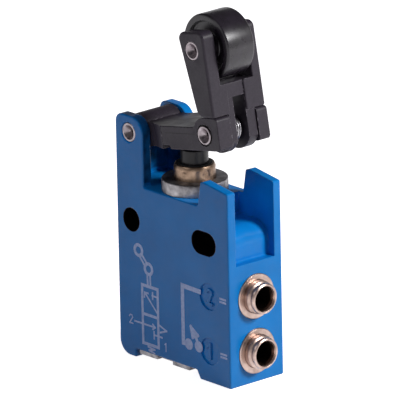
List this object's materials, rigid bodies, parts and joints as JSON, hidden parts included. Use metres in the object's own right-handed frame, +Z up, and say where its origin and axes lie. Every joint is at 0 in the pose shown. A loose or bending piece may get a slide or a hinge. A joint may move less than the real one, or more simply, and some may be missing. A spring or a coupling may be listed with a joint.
{
  "type": "roller lever pneumatic valve",
  "caption": "Miniature 3/2 poppet valve in a blue die-cast case, worked by a black roller lever with a one-way trip arm, with push-in tube ports on its end face.",
  "frame": {"origin": "on the axis of the round mounting hole, half way through the case", "axes": "+X along the front face towards the ports, +Y back through the case along the mounting holes, +Z up along the plunger towards the roller"},
  "size_m": [0.0334, 0.0133, 0.0691],
  "materials": {
    "blue_case": "satin enamel on a die casting",
    "pin_steel": "turned steel",
    "nickel_plate": "dull nickel plate",
    "port_nickel": "nickel-plated brass",
    "bush_brass": "turned brass",
    "spring_steel": "drawn wire",
    "plunger_plastic": "moulded",
    "lever_plastic": "moulded, fine grain",
    "roller_plastic": "turned, satin",
    "seal_rubber": "moulded"
  },
  "bodies": {
    "case": {"body": "blue_case", "lever_pivot_pin": "pin_steel", "gland_ring": "nickel_plate", "plunger_bush": "bush_brass", "plunger_wiper": "seal_rubber", "plunger_guide": "bush_brass", "guide_seal": "seal_rubber", "return_spring": "spring_steel", "valve_seat": "bush_brass", "poppet_spring": "spring_steel", "bottom_plug": "bush_brass", "bottom_plug_seal": "seal_rubber", "retaining_plate": "nickel_plate", "plate_screws": "nickel_plate", "port_1_sleeve": "port_nickel", "port_1_seal": "seal_rubber", "port_2_sleeve": "port_nickel", "port_2_seal": "seal_rubber"},
    "lever": {"lever": "lever_plastic", "trip_arm_pin": "pin_steel", "trip_spring": "spring_steel"},
    "trip_arm": {"trip_arm": "lever_plastic", "roller_pin": "pin_steel"},
    "roller": {"roller": "roller_plastic"},
    "plunger": {"plunger": "plunger_plastic", "plunger_seal": "seal_rubber"},
    "poppet": {"poppet": "bush_brass", "poppet_disc": "seal_rubber"},
    "port_1_collet": {"port_1_collet": "port_nickel"},
    "port_2_collet": {"port_2_collet": "port_nickel"}
  },
  "joints": [
    {"name": "lever_swing", "type": "hinge", "parent": "case", "child": "lever", "pos_m": [-0.00039, 0, 0.01665], "axis": [0, 1, 0], "range_deg": [0, 10], "stiffness_Nm_per_rad": 0.02, "springref_deg": -17.19},
    {"name": "trip_arm_fold", "type": "hinge", "parent": "lever", "child": "trip_arm", "pos_m": [0.02048, 0, 0.02062], "axis": [0, 1, 0], "range_deg": [-50, 0], "stiffness_Nm_per_rad": 0.003, "springref_deg": 22.92},
    {"name": "roller_spin", "type": "hinge", "parent": "trip_arm", "child": "roller", "pos_m": [0.01808, 0, 0.03627], "axis": [0, 1, 0], "continuous": true},
    {"name": "plunger_slide", "type": "slide", "parent": "case", "child": "plunger", "axis": [0, 0, 1], "range_m": [-0.00185, 0], "deforming": ["return_spring"]},
    {"name": "poppet_slide", "type": "slide", "parent": "case", "child": "poppet", "axis": [0, 0, 1], "range_m": [-0.0013, 0], "deforming": ["poppet_spring"]},
    {"name": "port_1_release", "type": "slide", "parent": "case", "child": "port_1_collet", "axis": [-1, 0, 0], "range_m": [0, 0.0008], "stiffness_N_per_m": 60, "springref_m": -0.004},
    {"name": "port_2_release", "type": "slide", "parent": "case", "child": "port_2_collet", "axis": [-1, 0, 0], "range_m": [0, 0.0008], "stiffness_N_per_m": 60, "springref_m": -0.004}
  ],
  "couplings": [
    {"joint": "plunger_slide", "follows": "lever_swing", "m_per_rad": -0.0106},
    {"joint": "poppet_slide", "follows": "lever_swing", "m_per_rad": -0.0074}
  ]
}
